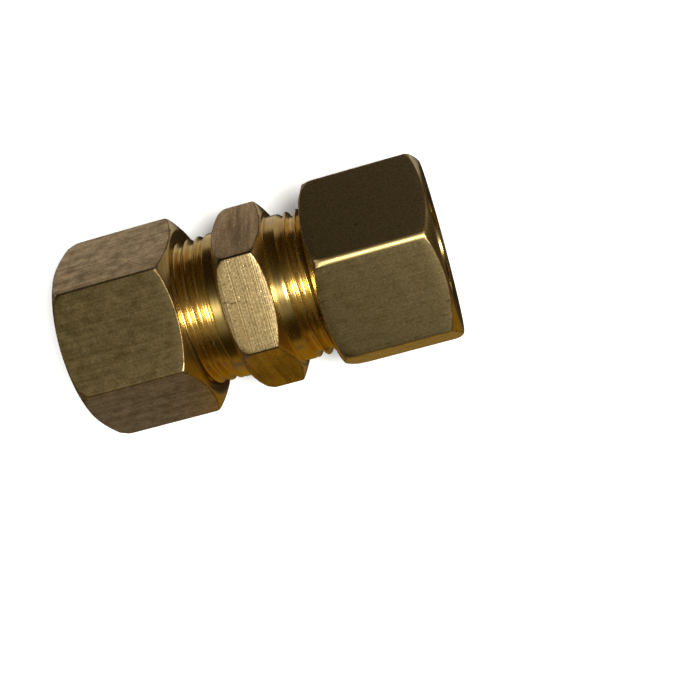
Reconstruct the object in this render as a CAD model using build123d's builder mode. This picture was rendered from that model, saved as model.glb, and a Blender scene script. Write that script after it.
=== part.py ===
"""Straight compression union for 1/2 inch tube, nuts partly unscrewed.

Millimetres. The origin is on the bore axis at the middle of the hexagon, +X runs
along the bore towards the right nut and +Z is up. Both ends are the same: a body
end with an outside thread and a tapered seat, a loose ferrule, and a nut.
"""

from build123d import *
from math import cos, radians, tan
import os

# Thread, 11/16-20 UN, right-handed
thread_diameter = 17.46
thread_pitch = 25.4 / 20
thread_depth = 0.72
flank_play = 0.08  # along the axis, between a flank and its mate
crest_play = 0.10  # between a crest and the root it faces
outer_allowance = 0.03  # the outside thread is this much under its nominal radius
sharp_height = thread_pitch * cos(radians(30))
pitch_radius = thread_diameter / 2 - 3 / 8 * sharp_height
outer_crest = thread_diameter / 2 - outer_allowance
outer_root = outer_crest - thread_depth
inner_crest = outer_root + crest_play
inner_root = outer_crest + crest_play
flank_slope = tan(radians(30))
root_bite = 0.10  # how far an outside ridge is sunk into the metal it stands on

# Tube and the holes that take it
tube_radius = 12.70 / 2
socket_play = 0.07
socket_radius = tube_radius + socket_play
passage_radius = 5.2
tube_stop_x = 4.8

# Body
hex_width = 5.95
body_hex_flats = 19.05
body_half_length = 14.8
shank_radius = outer_crest + 0.02
shank_length = 1.3  # plain, between the hexagon and the thread
outer_thread_x = hex_width / 2 + 0.2
outer_turns = 10
seat_angle = 15
seat_mouth_radius = 7.5
end_chamfer = 0.20

# Nut
nut_flats = 20.64
nut_length = 14.2
nut_face_x = 7.66
nut_end_x = nut_face_x + nut_length
inner_thread_x = outer_thread_x + 2.5 * thread_pitch  # half a pitch out of step, so they mesh
inner_turns = 8
nut_hole_play = 0.15
nut_hole_radius = tube_radius + nut_hole_play
nut_land = 1.6
countersink_width = 0.15

# Ferrule
ferrule_length = 6.4
ferrule_x = 13.36
nose_radius = 6.75
barrel_radius = 7.45
back_radius = 6.90
back_angle = 30

# Hexagons
corner_rounding = 0.45
bevel_angle = 30
bevel_undercut = 0.20  # the bevel circle is this much smaller than the flats

# Rest turns about +X, from one flat facing up
body_turn = -7.33
nut_turn = 10.90

# A cutting shape runs past the metal by this much
overshoot = 2


def thread_turn(crest, root, start_x):
    """One turn of a helical ridge about +X. The crest is outside the root on an outer thread."""
    outward = 1 if crest > root else -1
    half_at_pitch = thread_pitch / 4 - flank_play / 2
    crest_half = half_at_pitch - outward * (crest - pitch_radius) * flank_slope
    root_half = half_at_pitch - outward * (root - pitch_radius) * flank_slope
    with BuildPart() as ridge:
        with BuildLine() as helix:
            Helix(thread_pitch, thread_pitch, crest, (start_x, 0, 0), (1, 0, 0))
        start = helix.line @ 0
        radial = Vector(0, start.Y, start.Z)
        with BuildSketch(Plane(start, x_dir=radial, z_dir=radial.cross(Vector(1, 0, 0)))):
            with BuildLine():
                Polyline(
                    (0, -crest_half),
                    (0, crest_half),
                    (root - crest, root_half),
                    (root - crest, -root_half),
                    close=True,
                )
            make_face()
        sweep(path=helix.line, is_frenet=True)
    return ridge.part


def turn_places(count):
    """Where the turns of one thread lie, one pitch apart."""
    return [Location((turn * thread_pitch, 0, 0)) for turn in range(count)]


def bevel_depth(flats):
    """How far the bevel runs along the hexagon's corners."""
    return (flats / 2 / cos(radians(30)) - bevel_radius(flats)) * tan(radians(bevel_angle))


def bevel_radius(flats):
    """The circle that the bevel leaves on a hexagon's end face."""
    return flats / 2 - bevel_undercut


# Body: hexagon, two shanks, two threads, one stepped bore
body_corner = body_hex_flats / 2 / cos(radians(30))
body_bevel = bevel_depth(body_hex_flats)
outer_turn = thread_turn(outer_crest, outer_root - root_bite, outer_thread_x)
shank_end_x = hex_width / 2 + shank_length
lead_in_radius = outer_root - end_chamfer
lead_in_x = body_half_length - (shank_radius - lead_in_radius)

with BuildPart() as fitting_body:
    with BuildSketch(Plane.YZ.offset(-hex_width / 2)):
        RegularPolygon(body_corner, 6, rotation=body_turn)
    extrude(amount=hex_width)
    fillet(fitting_body.edges().filter_by(Axis.X), corner_rounding)
    with BuildSketch(Plane.XY) as shank_half:
        with BuildLine():
            Polyline(
                (0, 0),
                (0, shank_radius),
                (shank_end_x, shank_radius),
                (shank_end_x + shank_radius - outer_root, outer_root),
                (body_half_length, outer_root),
                (body_half_length, 0),
                close=True,
            )
        make_face()
        mirror(about=Plane.YZ)
    revolve(axis=Axis.X)
    for end in (Location(), Location((0, 0, 0), (0, 0, 180))):
        with Locations([end * place for place in turn_places(outer_turns)]):
            add(outer_turn)
    # Turned outline: 30 degree bevels on the hexagon and a lead-in on each thread
    with BuildSketch(Plane.XY) as outline_half:
        with BuildLine():
            Polyline(
                (0, 0),
                (0, body_corner),
                (hex_width / 2 - body_bevel, body_corner),
                (hex_width / 2, bevel_radius(body_hex_flats)),
                (hex_width / 2, shank_radius),
                (lead_in_x, shank_radius),
                (body_half_length, lead_in_radius),
                (body_half_length, 0),
                close=True,
            )
        make_face()
        mirror(about=Plane.YZ)
    revolve(axis=Axis.X, mode=Mode.INTERSECT)
    # Bore: narrow passage, tube socket up to a stop, tapered seat for the ferrule
    seat_x = body_half_length - (seat_mouth_radius - socket_radius) / tan(radians(seat_angle))
    with BuildSketch(Plane.XY) as bore_half:
        with BuildLine():
            Polyline(
                (0, 0),
                (0, passage_radius),
                (tube_stop_x, passage_radius),
                (tube_stop_x, socket_radius),
                (seat_x, socket_radius),
                (body_half_length, seat_mouth_radius),
                (body_half_length + overshoot, seat_mouth_radius),
                (body_half_length + overshoot, 0),
                close=True,
            )
        make_face()
        mirror(about=Plane.YZ)
    revolve(axis=Axis.X, mode=Mode.SUBTRACT)

# Nut: hexagon with an inside thread, a 45 degree shoulder and the tube hole
nut_corner = nut_flats / 2 / cos(radians(30))
nut_bevel = bevel_depth(nut_flats)
inner_turn = thread_turn(inner_crest, inner_root + root_bite / 2, inner_thread_x)
countersink_radius = inner_root + countersink_width
core_radius = nut_hole_radius / 2  # well inside the tube hole
shoulder_x = nut_end_x - nut_land - (inner_root - nut_hole_radius)

with BuildPart() as right_nut:
    with BuildSketch(Plane.YZ.offset(nut_face_x - overshoot)):
        RegularPolygon(nut_corner, 6, rotation=nut_turn)
    extrude(amount=nut_length + 2 * overshoot)
    fillet(right_nut.edges().filter_by(Axis.X), corner_rounding)
    with BuildSketch(Plane.XY) as nut_bore:
        with BuildLine():
            Polyline(
                (nut_face_x - overshoot, 0),
                (nut_face_x - overshoot, inner_root),
                (shoulder_x, inner_root),
                (nut_end_x - nut_land, nut_hole_radius),
                (nut_end_x + overshoot, nut_hole_radius),
                (nut_end_x + overshoot, 0),
                close=True,
            )
        make_face()
    revolve(axis=Axis.X, mode=Mode.SUBTRACT)
    with Locations(turn_places(inner_turns)):
        add(inner_turn)
    # Turned outline: flat end faces, 30 degree bevels and a countersunk thread mouth
    with BuildSketch(Plane.XY) as nut_outline:
        with BuildLine():
            Polyline(
                (nut_face_x, countersink_radius),
                (nut_face_x, bevel_radius(nut_flats)),
                (nut_face_x + nut_bevel, nut_corner),
                (nut_end_x - nut_bevel, nut_corner),
                (nut_end_x, bevel_radius(nut_flats)),
                (nut_end_x, core_radius),
                (nut_face_x + countersink_radius - core_radius, core_radius),
                close=True,
            )
        make_face()
    revolve(axis=Axis.X, mode=Mode.INTERSECT)

# Ferrule: a barrel-shaped sleeve that grips the tube
nose_x = ferrule_x + (barrel_radius - nose_radius) / tan(radians(seat_angle))
back_x = ferrule_x + ferrule_length - (barrel_radius - back_radius) / tan(radians(back_angle))

with BuildPart() as right_ferrule:
    with BuildSketch(Plane.XY) as ferrule_section:
        with BuildLine():
            Polyline(
                (ferrule_x, socket_radius),
                (ferrule_x, nose_radius),
                (nose_x, barrel_radius),
                (back_x, barrel_radius),
                (ferrule_x + ferrule_length, back_radius),
                (ferrule_x + ferrule_length, socket_radius),
                close=True,
            )
        make_face()
    revolve(axis=Axis.X)

fitting_body.part.label = "fitting_body"
right_nut.part.label = "right_nut"
right_ferrule.part.label = "right_ferrule"

# The left end is the right end turned half round about +Z
left_nut = right_nut.part.rotate(Axis.Z, 180)
left_nut.label = "left_nut"
left_ferrule = right_ferrule.part.rotate(Axis.Z, 180)
left_ferrule.label = "left_ferrule"

os.makedirs("parts", exist_ok=True)
for piece in (fitting_body.part, right_nut.part, left_nut, right_ferrule.part, left_ferrule):
    export_step(piece, f"parts/{piece.label}.step")
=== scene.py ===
"""A brass compression fitting lying on a pale floor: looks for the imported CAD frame.

Every piece is a lathe mesh whose columns run round the bore axis and whose rows run along it.
A hexagon is a lathe whose radius changes with the angle, so its bevels meet the flats in true
curves. Sizes are in millimetres up to the point where a mesh is made. +X runs along the bore
towards the right nut and +Z is up. Angles run from +Y towards +Z.
"""

import math

import bmesh
import bpy
import numpy as np
from mathutils import Matrix, Vector


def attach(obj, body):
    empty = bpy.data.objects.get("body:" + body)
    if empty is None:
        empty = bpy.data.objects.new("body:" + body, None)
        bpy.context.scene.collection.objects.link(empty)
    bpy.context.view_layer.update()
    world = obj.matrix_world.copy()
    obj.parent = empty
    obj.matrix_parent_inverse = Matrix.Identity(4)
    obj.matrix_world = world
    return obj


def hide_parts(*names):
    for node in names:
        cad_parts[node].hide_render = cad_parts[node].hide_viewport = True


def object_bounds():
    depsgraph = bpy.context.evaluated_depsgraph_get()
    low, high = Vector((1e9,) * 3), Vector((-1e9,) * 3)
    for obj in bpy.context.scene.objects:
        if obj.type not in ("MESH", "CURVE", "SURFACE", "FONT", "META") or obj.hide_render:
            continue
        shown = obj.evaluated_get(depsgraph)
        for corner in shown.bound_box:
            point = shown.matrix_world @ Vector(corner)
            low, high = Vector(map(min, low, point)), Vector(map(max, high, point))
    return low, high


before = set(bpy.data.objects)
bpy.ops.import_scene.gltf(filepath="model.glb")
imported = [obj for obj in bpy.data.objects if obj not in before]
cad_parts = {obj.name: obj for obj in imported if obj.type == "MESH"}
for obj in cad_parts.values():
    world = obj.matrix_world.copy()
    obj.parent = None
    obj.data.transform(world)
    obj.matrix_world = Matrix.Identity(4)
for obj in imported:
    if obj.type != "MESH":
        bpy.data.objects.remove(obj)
cad_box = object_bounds()

MM = 0.001
TURN = 2 * math.pi
HALF_CORNER = math.radians(30)  # from the middle of a flat to a corner of a hexagon

# Body, in millimetres
HEX_WIDTH = 5.95
BODY_FLATS = 19.05
BODY_HALF = 14.8
SHANK = 8.72
SHANK_LENGTH = 1.3
SOCKET = 6.42
PASSAGE = 5.20
TUBE_STOP = 4.8
SEAT_MOUTH = 7.5
SEAT_SLOPE = math.tan(math.radians(15))

# Nuts and ferrules, in millimetres
NUT_FLATS = 20.64
NUT_FACE = 7.66
NUT_END = 21.86
NUT_LAND = 1.6
TUBE_HOLE = 6.50
FERRULE_X = 13.36
FERRULE_LENGTH = 6.4
FERRULE_NOSE = 6.75
FERRULE_BARREL = 7.45
FERRULE_BACK = 6.90

# Worn edges, in millimetres
CORNER_ROUND = 0.36
BLUNT_ROUND = 0.90  # on the one corner of each nut that is knocked blunt
EDGE_REACH = 0.08
CORNER_REACH_LEFT = 0.95  # how far a bevel's meeting with a hexagon corner is rounded
CORNER_REACH_RIGHT = 0.30
CORNER_FADE = math.radians(2.6)
BEVEL_UNDERCUT = 0.20
BEVEL_SLOPE = math.tan(math.radians(30))

# Thread, in millimetres
PITCH = 1.27
OUTER_CREST = 8.70
OUTER_ROOT = 7.98
INNER_CREST = 8.08
INNER_ROOT = 8.80
THREAD_X = HEX_WIDTH / 2 + 0.2
INNER_THREAD_X = THREAD_X + 2.5 * PITCH
INNER_TURNS = 8
COUNTERSINK = INNER_ROOT + 0.15
LEAD_IN = 0.2
OUTER_HALVES = (0.085, 0.475)  # half the width of a ridge at its crest and at its root
INNER_HALVES = (0.145, 0.555)

# Rest turns about +X, in degrees: the angle of the first corner from +Y towards +Z
BODY_TURN = -7.33
NUT_TURN = 10.90

# Marks that every finish shares. Scales are in features per metre
BARE_METAL = (0.95, 0.78, 0.45)
SCRATCH = (0.08, 0.05, 0.02)
CLOUD_SCALE = 700
GRIT_SCALE = 4200
DENT_SCALE = 2300
SCRATCH_SCALE = 1300
BUMP_HEIGHT = 1e-5  # in metres


# ---------------------------------------------------------------- hexagons

def corner_angle(flats, rounding):
    """How far, in angle, a corner's rounding reaches to each side of the corner."""
    centre = (flats / 2 - rounding) / math.cos(HALF_CORNER)
    return np.arctan2(rounding * math.sin(HALF_CORNER), centre + rounding * math.cos(HALF_CORNER))


def hex_angles(turn, flats, roundings, per_side=18, per_corner=9):
    """Column angles round a hexagon, close together at its six rounded corners."""
    reaches = corner_angle(flats, np.array(roundings))
    angles = []
    for side in range(6):
        corner = math.radians(turn) + 2 * HALF_CORNER * side
        reach, next_reach = reaches[side], reaches[(side + 1) % 6]
        angles += list(np.linspace(corner - reach, corner + reach, per_corner))
        side_end = corner + 2 * HALF_CORNER - next_reach
        angles += list(np.linspace(corner + reach, side_end, per_side)[1:-1])
    return np.array(angles)


def from_corner(angles, turn):
    """The angle from each column to the nearest corner."""
    return np.abs((angles - math.radians(turn) + HALF_CORNER) % (2 * HALF_CORNER) - HALF_CORNER)


def nearest_rounding(angles, turn, roundings):
    """The rounding of the corner that is nearest to each column."""
    corner = np.round((angles - math.radians(turn)) / (2 * HALF_CORNER)).astype(int) % 6
    return np.array(roundings)[corner]


def hex_radius(angles, turn, flats, roundings):
    """The radius of a hexagon with rounded corners at each angle."""
    away = from_corner(angles, turn)
    rounding = nearest_rounding(angles, turn, roundings)
    flat = flats / 2 / np.cos(HALF_CORNER - away)
    centre = (flats / 2 - rounding) / math.cos(HALF_CORNER)
    reach = centre * np.sin(away)
    arc = centre * np.cos(away) + np.sqrt(np.maximum(rounding ** 2 - reach ** 2, 0))
    return np.where(away < corner_angle(flats, rounding), arc, flat)


def bevel_reach(angles, turn, at_corner):
    """How far the meeting of bevel and hexagon is rounded: little on a flat, more at a corner."""
    return EDGE_REACH + at_corner * np.exp(-(from_corner(angles, turn) / CORNER_FADE) ** 2)


# ---------------------------------------------------------------- lathe meshes

def soft_profile(points, reaches, steps=5):
    """Rows of a profile whose corners are rounded off. Each value may be one or one per column."""
    points = [np.array(np.broadcast_arrays(*point), float).T for point in points]
    rows = [points[0]]
    for before, here, after, reach in zip(points, points[1:], points[2:], reaches):
        back = before - here
        ahead = after - here
        back_length = np.linalg.norm(back, axis=-1, keepdims=True)
        ahead_length = np.linalg.norm(ahead, axis=-1, keepdims=True)
        reach = np.expand_dims(np.broadcast_to(reach, here.shape[:-1]), -1)
        reach = np.minimum(reach, 0.48 * np.minimum(back_length, ahead_length))
        start = here + back / back_length * reach
        end = here + ahead / ahead_length * reach
        for t in np.linspace(0, 1, steps):
            rows.append((1 - t) ** 2 * start + 2 * t * (1 - t) * here + t ** 2 * end)
    rows.append(points[-1])
    return rows


def ring_rows(points, reaches, count, gap=1.2):
    """Profile rows as one array of rows, columns and (x, r), with no face much longer than gap."""
    rows = [np.broadcast_to(row, (count, 2)) for row in soft_profile(points, reaches)]
    filled = [rows[0]]
    for before, here in zip(rows, rows[1:]):
        length = np.linalg.norm(here - before, axis=-1).max()
        steps = max(1, math.ceil(length / gap))
        filled += [before + (here - before) * step / steps for step in range(1, steps + 1)]
    return np.array(filled)


def add_strip(bm, rows, angles, seam_shift=0, paint=None):
    """Faces between neighbouring rows and columns. At the seam, a thread's rows meet one turn on."""
    count = len(angles)
    cos, sin = np.cos(angles), np.sin(angles)
    grid = [
        [bm.verts.new((x * MM, r * c * MM, r * s * MM)) for (x, r), c, s in zip(row, cos, sin)]
        for row in rows
    ]
    last = len(rows) - 1
    for i in range(last):
        for j in range(count):
            k = (j + 1) % count
            shift = seam_shift if k == 0 else 0
            if i + shift + 1 > last:
                continue
            corners = (grid[i][j], grid[i + 1][j], grid[i + 1 + shift][k], grid[i + shift][k])
            face = bm.faces.new(corners)
            face.material_index = paint[i][j] if paint is not None else 0


def finish_mesh(name, bm, materials, half_turn=False):
    """Joins the strips, drops collapsed faces and makes the object."""
    bmesh.ops.remove_doubles(bm, verts=bm.verts, dist=2e-7)
    bmesh.ops.dissolve_degenerate(bm, edges=bm.edges, dist=1e-7)
    bmesh.ops.recalc_face_normals(bm, faces=bm.faces)
    mesh = bpy.data.meshes.new(name)
    bm.to_mesh(mesh)
    bm.free()
    mesh.shade_smooth()
    if half_turn:
        mesh.transform(Matrix.Rotation(math.pi, 4, "Z"))
    for material in materials:
        mesh.materials.append(material)
    piece = bpy.data.objects.new(name, mesh)
    bpy.context.scene.collection.objects.link(piece)
    return piece


def hexagon_paint(rows, angles, turn, flats, roundings, start, end, depth):
    """Material index of each face: 0 turned metal, 1 flats, 2 a blunt corner, 3 bevel edges."""
    x = (rows[:-1, :, 0] + rows[1:, :, 0]) / 2
    middles = angles + (np.roll(angles, -1) - angles) % TURN / 2
    rounding = nearest_rounding(middles, turn, roundings)
    at_corner = from_corner(middles, turn) < corner_angle(flats, rounding)
    inset = np.minimum(x - start - depth, end - depth - x)
    paint = np.where(inset > 0, np.where(at_corner & (rounding > CORNER_ROUND), 2, 1), 0)
    return np.where(np.abs(inset) < EDGE_REACH, 3, paint)


# ---------------------------------------------------------------- threads

def thread_levels(crest, root, halves):
    """Offsets over one pitch, from one root's middle to the next, with the radius at each."""
    crest_half, root_half = halves
    flank = root_half - crest_half
    soft = 0.07  # how far a flank's meeting with a crest or a root is rounded
    rise = (crest - root) * soft / flank
    middle = PITCH / 2
    ups = [
        (0.0, root),
        (middle - root_half - soft, root),
        (middle - root_half, root + 0.32 * rise),
        (middle - root_half + soft, root + rise),
        (middle - (root_half + crest_half) / 2, (root + crest) / 2),
        (middle - crest_half - soft, crest - rise),
        (middle - crest_half - 0.02, crest - 0.44 * rise),
        (middle - crest_half + 0.035, crest),
    ]
    downs = [(PITCH - offset, radius) for offset, radius in reversed(ups[1:])]
    return ups + [(middle, crest)] + downs


def thread_rows(levels, start, end, angles, crest_x, envelope):
    """Rows that follow the helix, held between start and end. envelope(x, r) trims the radius."""
    offsets = np.array([offset for offset, _ in levels])
    radii = np.array([radius for _, radius in levels])
    turns = ((angles - math.pi / 2) % TURN) / TURN
    order_start = crest_x - PITCH / 2
    first = math.floor((start - order_start) / PITCH) - 2
    last = math.ceil((end - order_start) / PITCH) + 1
    rows = []
    for turn in range(first, last + 1):
        for offset in offsets:
            x = np.clip(order_start + turn * PITCH + offset + turns * PITCH, start, end)
            phase = (x - order_start - turns * PITCH) % PITCH
            r = np.interp(phase, list(offsets) + [PITCH], list(radii) + [radii[0]])
            rows.append(np.stack([x, envelope(x, r)], axis=-1))
    return np.array(rows), len(levels)


def seam_first(angles):
    """Turns the columns so that the first is the one where the thread's count of turns starts again."""
    return np.roll(angles, -int(np.argmin((angles - math.pi / 2) % TURN)))


# ---------------------------------------------------------------- materials

def node(tree, kind, inputs=None, **values):
    """A shader node with its settings and its unlinked inputs."""
    made = tree.nodes.new(kind)
    for key, value in values.items():
        setattr(made, key, value)
    for key, value in (inputs or {}).items():
        made.inputs[key].default_value = value
    return made


def link(tree, source, target):
    """Joins an output socket to an input socket."""
    tree.links.new(source, target)


def noise(tree, vector, scale, detail=2.0, roughness=0.5):
    """Noise over a vector, with scale in features per metre."""
    made = node(tree, "ShaderNodeTexNoise", {"Scale": scale, "Detail": detail, "Roughness": roughness})
    link(tree, vector, made.inputs["Vector"])
    return made.outputs["Fac"]


def lines(tree, along, scale, detail=3.0, roughness=0.6):
    """Noise over one coordinate only, which makes unbroken lines across it."""
    made = node(tree, "ShaderNodeTexNoise", {"Scale": scale, "Detail": detail, "Roughness": roughness},
                noise_dimensions="1D")
    link(tree, along, made.inputs["W"])
    return made.outputs["Fac"]


def stretched(tree, vector, scale):
    """A vector scaled along each axis, so that noise over it runs long where the scale is small."""
    made = node(tree, "ShaderNodeMapping", {"Scale": scale})
    link(tree, vector, made.inputs["Vector"])
    return made.outputs["Vector"]


def spread(tree, fac, low, high, to_low, to_high):
    """The part of fac between low and high, spread over a new range."""
    made = node(tree, "ShaderNodeMapRange",
                {"From Min": low, "From Max": high, "To Min": to_low, "To Max": to_high})
    link(tree, fac, made.inputs["Value"])
    return made.outputs["Result"]


def combine(tree, operation, one, other):
    """The result of one sum on two values. Either may be a plain number."""
    made = node(tree, "ShaderNodeMath", operation=operation)
    for socket, value in zip(made.inputs, (one, other)):
        if isinstance(value, (int, float)):
            socket.default_value = value
        else:
            link(tree, value, socket)
    return made.outputs["Value"]


def weigh(tree, one, share, other, other_share):
    """A weighted sum of two values."""
    return combine(tree, "ADD", combine(tree, "MULTIPLY", one, share),
                   combine(tree, "MULTIPLY", other, other_share))


def colour_mix(tree, fac, one, other):
    """One colour turning into another as fac goes from 0 to 1. Either may be a plain tuple."""
    made = node(tree, "ShaderNodeMix", data_type="RGBA")
    link(tree, fac, made.inputs["Factor"])
    for socket, value in ((made.inputs[6], one), (made.inputs[7], other)):
        if isinstance(value, tuple):
            socket.default_value = (*value, 1)
        else:
            link(tree, value, socket)
    return made.outputs[2]


def brass(name, bright, dull, rough, aniso, turned, grooves, groove_depth, nicks, speckle):
    """Brass with tool lines, which run round the axis on turned metal and along it on drawn metal.

    nicks is how deep the small dents are, and speckle how strongly dark and bare grains show.
    """
    material = bpy.data.materials.new(name)
    material.use_nodes = True
    tree = material.node_tree
    shader = tree.nodes["Principled BSDF"]
    shader.inputs["Metallic"].default_value = 1.0
    shader.inputs["Anisotropic"].default_value = aniso
    shader.inputs["Anisotropic Rotation"].default_value = 0.25 if turned else 0.0
    tangent = node(tree, "ShaderNodeTangent", direction_type="RADIAL", axis="X")
    link(tree, tangent.outputs["Tangent"], shader.inputs["Tangent"])
    place = node(tree, "ShaderNodeTexCoord").outputs["Object"]
    split = node(tree, "ShaderNodeSeparateXYZ")
    link(tree, place, split.inputs["Vector"])
    if turned:
        long_lines = lines(tree, split.outputs["X"], grooves)
        streaks = noise(tree, stretched(tree, place, (1, 0.04, 0.04)), grooves * 0.5, 3.0, 0.6)
        cloud = noise(tree, stretched(tree, place, (1, 0.20, 0.20)), CLOUD_SCALE, 4.0, 0.6)
    else:
        long_lines = noise(tree, stretched(tree, place, (0.02, 1, 1)), grooves, 3.0, 0.6)
        streaks = noise(tree, stretched(tree, place, (0.12, 1, 1)), grooves * 0.45, 3.0, 0.6)
        cloud = noise(tree, place, CLOUD_SCALE, 7.0, 0.72)
    fine = weigh(tree, long_lines, 0.7, streaks, 0.3)
    grit = noise(tree, place, GRIT_SCALE, 3.0, 0.65)
    dents = spread(tree, noise(tree, place, DENT_SCALE, 1.0, 0.4), 0.73, 0.79, 0.0, 1.0)

    stain = spread(tree, weigh(tree, cloud, 0.60, fine, 0.40), 0.40, 0.60, 0.0, 1.0)
    colour = colour_mix(tree, stain, bright, dull)
    speckled = combine(tree, "MULTIPLY", spread(tree, grit, 0.40, 0.66, 0.0, 1.0), speckle)
    colour = colour_mix(tree, speckled, colour, tuple(channel * 0.45 for channel in dull))
    bare = combine(tree, "MULTIPLY", spread(tree, grit, 0.36, 0.28, 0.0, 1.0), speckle)
    colour = colour_mix(tree, bare, colour, BARE_METAL)
    scratches = noise(tree, stretched(tree, place, (0.30, 1, 1)), SCRATCH_SCALE, 4.0, 0.7)
    scratched = combine(tree, "MULTIPLY", spread(tree, scratches, 0.64, 0.69, 0.0, 1.0), speckle)
    colour = colour_mix(tree, scratched, colour, SCRATCH)
    link(tree, colour, shader.inputs["Base Color"])
    link(tree, spread(tree, stain, 0.0, 1.0, rough - 0.03, rough + 0.05), shader.inputs["Roughness"])

    height = weigh(tree, long_lines, groove_depth, dents, -nicks)
    bump = node(tree, "ShaderNodeBump", {"Strength": 1.0, "Distance": BUMP_HEIGHT})
    link(tree, height, bump.inputs["Height"])
    link(tree, bump.outputs["Normal"], shader.inputs["Normal"])
    return material


# ---------------------------------------------------------------- pieces

def make_nut(name, materials, half_turn, blunt_corner):
    """A nut, built at the right end and turned half round about +Z for the left one."""
    roundings = [BLUNT_ROUND if corner == blunt_corner else CORNER_ROUND for corner in range(6)]
    angles = seam_first(hex_angles(NUT_TURN, NUT_FLATS, roundings))
    corner = hex_radius(angles, NUT_TURN, NUT_FLATS, roundings)
    bevel = NUT_FLATS / 2 - BEVEL_UNDERCUT
    depth = (corner - bevel) * BEVEL_SLOPE
    inner_reach, outer_reach = CORNER_REACH_LEFT, CORNER_REACH_RIGHT
    if half_turn:
        inner_reach, outer_reach = outer_reach, inner_reach
    inner_soft = bevel_reach(angles, NUT_TURN, inner_reach)
    outer_soft = bevel_reach(angles, NUT_TURN, outer_reach)
    thread_end = INNER_THREAD_X + INNER_TURNS * PITCH
    shoulder = NUT_END - NUT_LAND - (INNER_ROOT - TUBE_HOLE)
    lip = 0.25  # the chamfer at the tube hole
    bm = bmesh.new()
    outside = ring_rows(
        [
            (NUT_FACE, COUNTERSINK),
            (NUT_FACE, bevel),
            (NUT_FACE + depth, corner),
            (NUT_END - depth, corner),
            (NUT_END, bevel),
            (NUT_END, TUBE_HOLE + lip),
            (NUT_END - lip, TUBE_HOLE),
            (NUT_END - NUT_LAND, TUBE_HOLE),
            (shoulder, INNER_ROOT),
            (thread_end, INNER_ROOT),
        ],
        [0.15, inner_soft, outer_soft, 0.15, 0.05, 0.05, 0.1, 0.2],
        len(angles),
    )
    paint = hexagon_paint(outside, angles, NUT_TURN, NUT_FLATS, roundings, NUT_FACE, NUT_END, depth)
    inner = np.arange(len(outside) - 1) > np.argmax(outside[:, 0, 0])
    paint[inner] = 0
    add_strip(bm, outside, angles, paint=paint)

    def trimmed(x, r):
        mouth = COUNTERSINK - (x - NUT_FACE)
        runout = INNER_CREST + (x - (thread_end - 0.8)) * 0.9
        return np.minimum(np.maximum(np.maximum(r, mouth), runout), np.maximum(INNER_ROOT, mouth))

    levels = thread_levels(INNER_CREST, INNER_ROOT, INNER_HALVES)
    rows, per_turn = thread_rows(levels, NUT_FACE, thread_end, angles, INNER_THREAD_X, trimmed)
    add_strip(bm, rows, angles, per_turn)
    return finish_mesh(name, bm, materials, half_turn)


def make_body(name, materials):
    """Hexagon, two threaded shanks and the stepped bore."""
    roundings = [CORNER_ROUND] * 6
    angles = seam_first(hex_angles(BODY_TURN, BODY_FLATS, roundings))
    count = len(angles)
    corner = hex_radius(angles, BODY_TURN, BODY_FLATS, roundings)
    bevel = BODY_FLATS / 2 - BEVEL_UNDERCUT
    depth = (corner - bevel) * BEVEL_SLOPE
    left_soft = bevel_reach(angles, BODY_TURN, CORNER_REACH_LEFT * 0.7)
    right_soft = bevel_reach(angles, BODY_TURN, CORNER_REACH_RIGHT * 0.7)
    half = HEX_WIDTH / 2
    seat = BODY_HALF - (SEAT_MOUTH - SOCKET) / SEAT_SLOPE
    bm = bmesh.new()
    hexagon = ring_rows(
        [
            (-half, SHANK),
            (-half, bevel),
            (-half + depth, corner),
            (half - depth, corner),
            (half, bevel),
            (half, SHANK),
        ],
        [EDGE_REACH, left_soft, right_soft, EDGE_REACH],
        count,
        gap=0.8,
    )
    paint = hexagon_paint(hexagon, angles, BODY_TURN, BODY_FLATS, roundings, -half, half, depth)
    add_strip(bm, hexagon, angles, paint=paint)
    right_bore = [
        (TUBE_STOP, PASSAGE),
        (TUBE_STOP, SOCKET),
        (seat, SOCKET),
        (BODY_HALF, SEAT_MOUTH),
        (BODY_HALF, OUTER_ROOT - LEAD_IN),
    ]
    left_bore = [(-x, r) for x, r in reversed(right_bore)]
    bore = ring_rows(left_bore + right_bore, [0.05, 0.1, 0.05, 0.1, 0.1, 0.05, 0.1, 0.05], count)
    add_strip(bm, bore, angles)

    def trimmed(x, r):
        away = np.abs(x)
        runout = SHANK - np.maximum(away - (half + SHANK_LENGTH), 0) * 0.8
        lead_in = OUTER_ROOT - LEAD_IN + (BODY_HALF - away)
        return np.minimum(np.maximum(r, runout), lead_in)

    levels = thread_levels(OUTER_CREST, OUTER_ROOT, OUTER_HALVES)
    for start, end, crest_x in ((half, BODY_HALF, THREAD_X), (-BODY_HALF, -half, PITCH / 2 - THREAD_X)):
        rows, per_turn = thread_rows(levels, start, end, angles, crest_x, trimmed)
        add_strip(bm, rows, angles, per_turn)
    return finish_mesh(name, bm, materials)


def make_ferrule(name, materials, half_turn):
    """A barrel-shaped sleeve, tapered at the nose and rounded at the back."""
    angles = np.linspace(0, TURN, 96, endpoint=False)
    end = FERRULE_X + FERRULE_LENGTH
    bm = bmesh.new()
    rows = ring_rows(
        [
            (FERRULE_X, SOCKET),
            (FERRULE_X, FERRULE_NOSE),
            (FERRULE_X + (FERRULE_BARREL - FERRULE_NOSE) / SEAT_SLOPE, FERRULE_BARREL),
            (end - (FERRULE_BARREL - FERRULE_BACK) / BEVEL_SLOPE, FERRULE_BARREL),
            (end, FERRULE_BACK),
            (end, SOCKET),
            (FERRULE_X, SOCKET),
        ],
        [0.08, 0.6, 0.4, 0.1, 0.05],
        len(angles),
    )
    add_strip(bm, rows, angles)
    return finish_mesh(name, bm, materials, half_turn)


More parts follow.
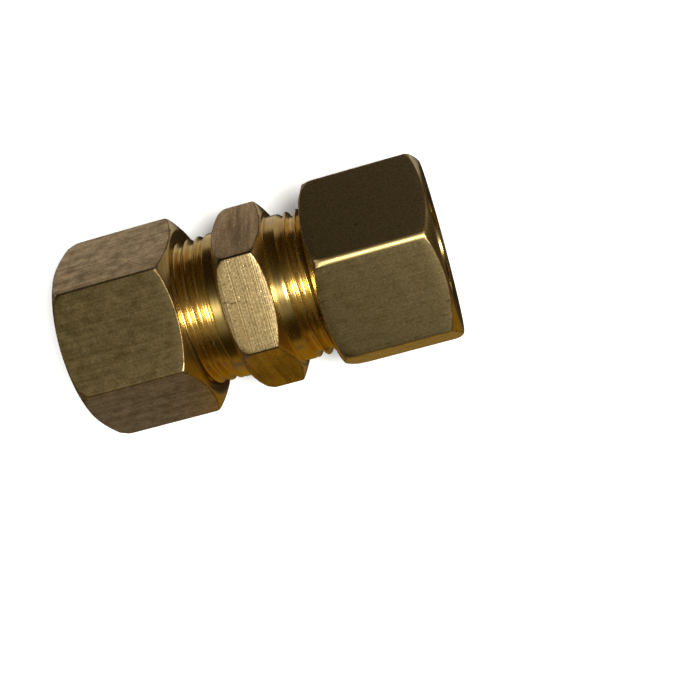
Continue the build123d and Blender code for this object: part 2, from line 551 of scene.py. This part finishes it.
turned_brass = brass(
    "turned_brass",
    bright=(0.86, 0.65, 0.25), dull=(0.70, 0.50, 0.16),
    rough=0.24, aniso=0.75, turned=True,
    grooves=4200, groove_depth=0.22, nicks=0.0, speckle=0.0,
)
milled_brass = brass(
    "milled_brass",
    bright=(0.74, 0.56, 0.27), dull=(0.32, 0.22, 0.09),
    rough=0.26, aniso=0.55, turned=True,
    grooves=4200, groove_depth=1.8, nicks=0.9, speckle=0.60,
)
drawn_brass = brass(
    "drawn_brass",
    bright=(0.92, 0.73, 0.37), dull=(0.38, 0.29, 0.12),
    rough=0.29, aniso=0.55, turned=False,
    grooves=3600, groove_depth=0.9, nicks=0.5, speckle=0.45,
)
bevel_brass = brass(
    "bevel_brass",
    bright=(0.66, 0.50, 0.20), dull=(0.50, 0.36, 0.12),
    rough=0.26, aniso=0.50, turned=True,
    grooves=4200, groove_depth=0.4, nicks=0.4, speckle=0.15,
)
corner_brass = brass(
    "corner_brass",
    bright=(0.88, 0.68, 0.30), dull=(0.72, 0.54, 0.22),
    rough=0.50, aniso=0.70, turned=True,
    grooves=5200, groove_depth=1.6, nicks=0.8, speckle=0.20,
)
edge_brass = brass(
    "edge_brass",
    bright=(0.46, 0.32, 0.13), dull=(0.16, 0.10, 0.04),
    rough=0.50, aniso=0.0, turned=False,
    grooves=4600, groove_depth=3.0, nicks=2.0, speckle=0.45,
)
ferrule_brass = brass(
    "ferrule_brass",
    bright=(0.90, 0.70, 0.32), dull=(0.80, 0.60, 0.25),
    rough=0.24, aniso=0.75, turned=True,
    grooves=6000, groove_depth=0.3, nicks=0.2, speckle=0.10,
)

for half_turn, where, blunt_corner in ((False, "right", 1), (True, "left", 4)):
    nut_finish = (bevel_brass, drawn_brass, corner_brass, edge_brass)
    nut = make_nut(f"{where}_hex_nut", nut_finish, half_turn, blunt_corner)
    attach(nut, f"{where}_nut")
    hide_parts(f"{where}_nut")
    ferrule = make_ferrule(f"{where}_sleeve", (ferrule_brass,), half_turn)
    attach(ferrule, f"{where}_ferrule")
    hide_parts(f"{where}_ferrule")

body = make_body("union_body", (turned_brass, milled_brass, milled_brass, edge_brass))
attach(body, "body")
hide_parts("fitting_body")


# ---------------------------------------------------------------- floor and room

def stops(tree, fac, colours):
    """A colour ramp through (position, colour) stops."""
    made = node(tree, "ShaderNodeValToRGB")
    elements = made.color_ramp.elements
    while len(elements) > 1:
        elements.remove(elements[-1])
    elements[0].position = colours[0][0]
    elements[0].color = (*colours[0][1], 1)
    for position, colour in colours[1:]:
        elements.new(position).color = (*colour, 1)
    link(tree, fac, made.inputs["Fac"])
    return made.outputs["Color"]


def seen_or_mirrored(tree, seen, mirrored):
    """One shader for the eye and one for what metal mirrors: a dim workshop round a pale sheet, as
    painted reflections on the floor and bands of light in the room.
    """
    path = node(tree, "ShaderNodeLightPath")
    mixed = node(tree, "ShaderNodeMixShader")
    link(tree, path.outputs["Is Glossy Ray"], mixed.inputs["Fac"])
    link(tree, seen, mixed.inputs[1])
    link(tree, mirrored, mixed.inputs[2])
    return mixed.outputs["Shader"]


def make_floor(height, reach):
    """A pale floor to the eye, and painted reflections for what metal mirrors: zones of colour that run
    along the part, with a painted shadow under it.
    """
    mesh = bpy.data.meshes.new("floor")
    square = [(x * reach, y * reach, height) for x, y in ((-1, -1), (1, -1), (1, 1), (-1, 1))]
    mesh.from_pydata(square, [], [(0, 1, 2, 3)])
    floor = bpy.data.objects.new("floor", mesh)
    bpy.context.scene.collection.objects.link(floor)
    paint = bpy.data.materials.new("floor_paint")
    paint.use_nodes = True
    paint.cycles.emission_sampling = "NONE"
    tree = paint.node_tree
    plain = tree.nodes["Principled BSDF"]
    plain.inputs["Base Color"].default_value = (0.86, 0.86, 0.85, 1)
    plain.inputs["Roughness"].default_value = 0.9
    place = node(tree, "ShaderNodeTexCoord").outputs["Object"]
    split = node(tree, "ShaderNodeSeparateXYZ")
    link(tree, place, split.inputs["Vector"])
    # Painted reflections: tan behind the part, dimmer in front and dark further off, with a painted
    # shadow right under the part and a pale band just behind it
    across = spread(tree, split.outputs["Y"], -0.12, 0.12, 0.0, 1.0)
    painted_reflection = stops(tree, across, [
        (0.00, (0.100, 0.085, 0.080)),
        (0.30, (0.160, 0.135, 0.140)),
        (0.43, (0.150, 0.125, 0.130)),
        # Painted shadow right under the part, seen only in reflections
        (0.45, (0.030, 0.020, 0.012)),
        (0.543, (0.030, 0.020, 0.012)),
        (0.550, (0.480, 0.440, 0.390)),
        (0.564, (0.480, 0.440, 0.390)),
        (0.577, (0.390, 0.340, 0.345)),
        (0.62, (0.390, 0.335, 0.340)),
        (0.65, (0.270, 0.228, 0.215)),
        (0.69, (0.030, 0.020, 0.010)),
        (1.00, (0.018, 0.011, 0.004)),
    ])
    # A painted reflection, warm in front and to the right, as of another brass fitting
    in_front = spread(tree, split.outputs["Y"], -0.012, -0.018, 0.0, 1.0)
    rightward = spread(tree, split.outputs["X"], -0.024, -0.012, 0.0, 1.0)
    painted_brass_reflection = combine(tree, "MULTIPLY", in_front, rightward)
    painted_reflection = colour_mix(tree, painted_brass_reflection, painted_reflection, (0.250, 0.145, 0.012))
    mirrored = node(tree, "ShaderNodeEmission")
    link(tree, painted_reflection, mirrored.inputs["Color"])
    surface = seen_or_mirrored(tree, plain.outputs["BSDF"], mirrored.outputs["Emission"])
    link(tree, surface, tree.nodes["Material Output"].inputs["Surface"])
    mesh.materials.append(paint)


def make_room():
    """A pale room to the eye, and bands of light from behind to in front to what metal mirrors."""
    world = bpy.data.worlds.new("room")
    bpy.context.scene.world = world
    world.use_nodes = True
    world.cycles.sampling_method = "NONE"
    tree = world.node_tree
    tree.nodes.clear()
    seen = node(tree, "ShaderNodeBackground", {"Color": (0.88, 0.88, 0.87, 1), "Strength": 1.0})
    split = node(tree, "ShaderNodeSeparateXYZ")
    link(tree, node(tree, "ShaderNodeTexCoord").outputs["Generated"], split.inputs["Vector"])
    # 0 at the horizon behind the part, 0.5 overhead, 1 at the horizon in front
    angle = combine(tree, "ARCTAN2", split.outputs["Z"], split.outputs["Y"])
    over = combine(tree, "DIVIDE", angle, math.pi)
    sky = stops(tree, over, [
        (0.00, (0.018, 0.011, 0.004)),
        (0.20, (0.015, 0.009, 0.002)),
        (0.34, (0.050, 0.040, 0.020)),
        (0.42, (0.165, 0.148, 0.110)),
        (0.62, (0.190, 0.170, 0.130)),
        (0.67, (0.080, 0.068, 0.044)),
        (0.72, (0.022, 0.015, 0.005)),
        (0.78, (0.016, 0.009, 0.002)),
        (0.90, (0.030, 0.018, 0.004)),
        (0.96, (0.200, 0.130, 0.025)),
        (1.00, (0.250, 0.160, 0.030)),
    ])
    mirrored = node(tree, "ShaderNodeBackground")
    link(tree, sky, mirrored.inputs["Color"])
    out = node(tree, "ShaderNodeOutputWorld")
    surface = seen_or_mirrored(tree, seen.outputs["Background"], mirrored.outputs["Background"])
    link(tree, surface, out.inputs["Surface"])


def softbox(name, direction, distance, size, power, colour):
    """An area light that looks at the middle of the part from one direction."""
    lamp = bpy.data.lights.new(name, "AREA")
    lamp.shape = "RECTANGLE"
    lamp.size, lamp.size_y = size
    lamp.energy = power
    lamp.color = colour
    holder = bpy.data.objects.new(name, lamp)
    aim = Vector(direction).normalized()
    holder.location = aim * distance
    holder.rotation_euler = aim.to_track_quat("Z", "X").to_euler()
    bpy.context.scene.collection.objects.link(holder)


low, high = cad_box
make_floor(low[2], 60 * (high[0] - low[0]))
make_room()
softbox("key", (0.36, 0.13, 0.90), 0.5, (0.13, 0.13), 3.1, (1.0, 0.98, 0.94))

camera_data = bpy.data.cameras.new("camera")
camera_data.sensor_width = 36
camera_data.lens = 59.77
camera_data.clip_start = 0.001
camera = bpy.data.objects.new("camera", camera_data)
camera.location = (0.02696, 0.02419, 0.13271)
camera.rotation_euler = [math.radians(turn) for turn in (-15.645, 3.78, -16.271)]
bpy.context.scene.collection.objects.link(camera)
bpy.context.scene.camera = camera
bpy.context.scene.view_settings.view_transform = "Standard"
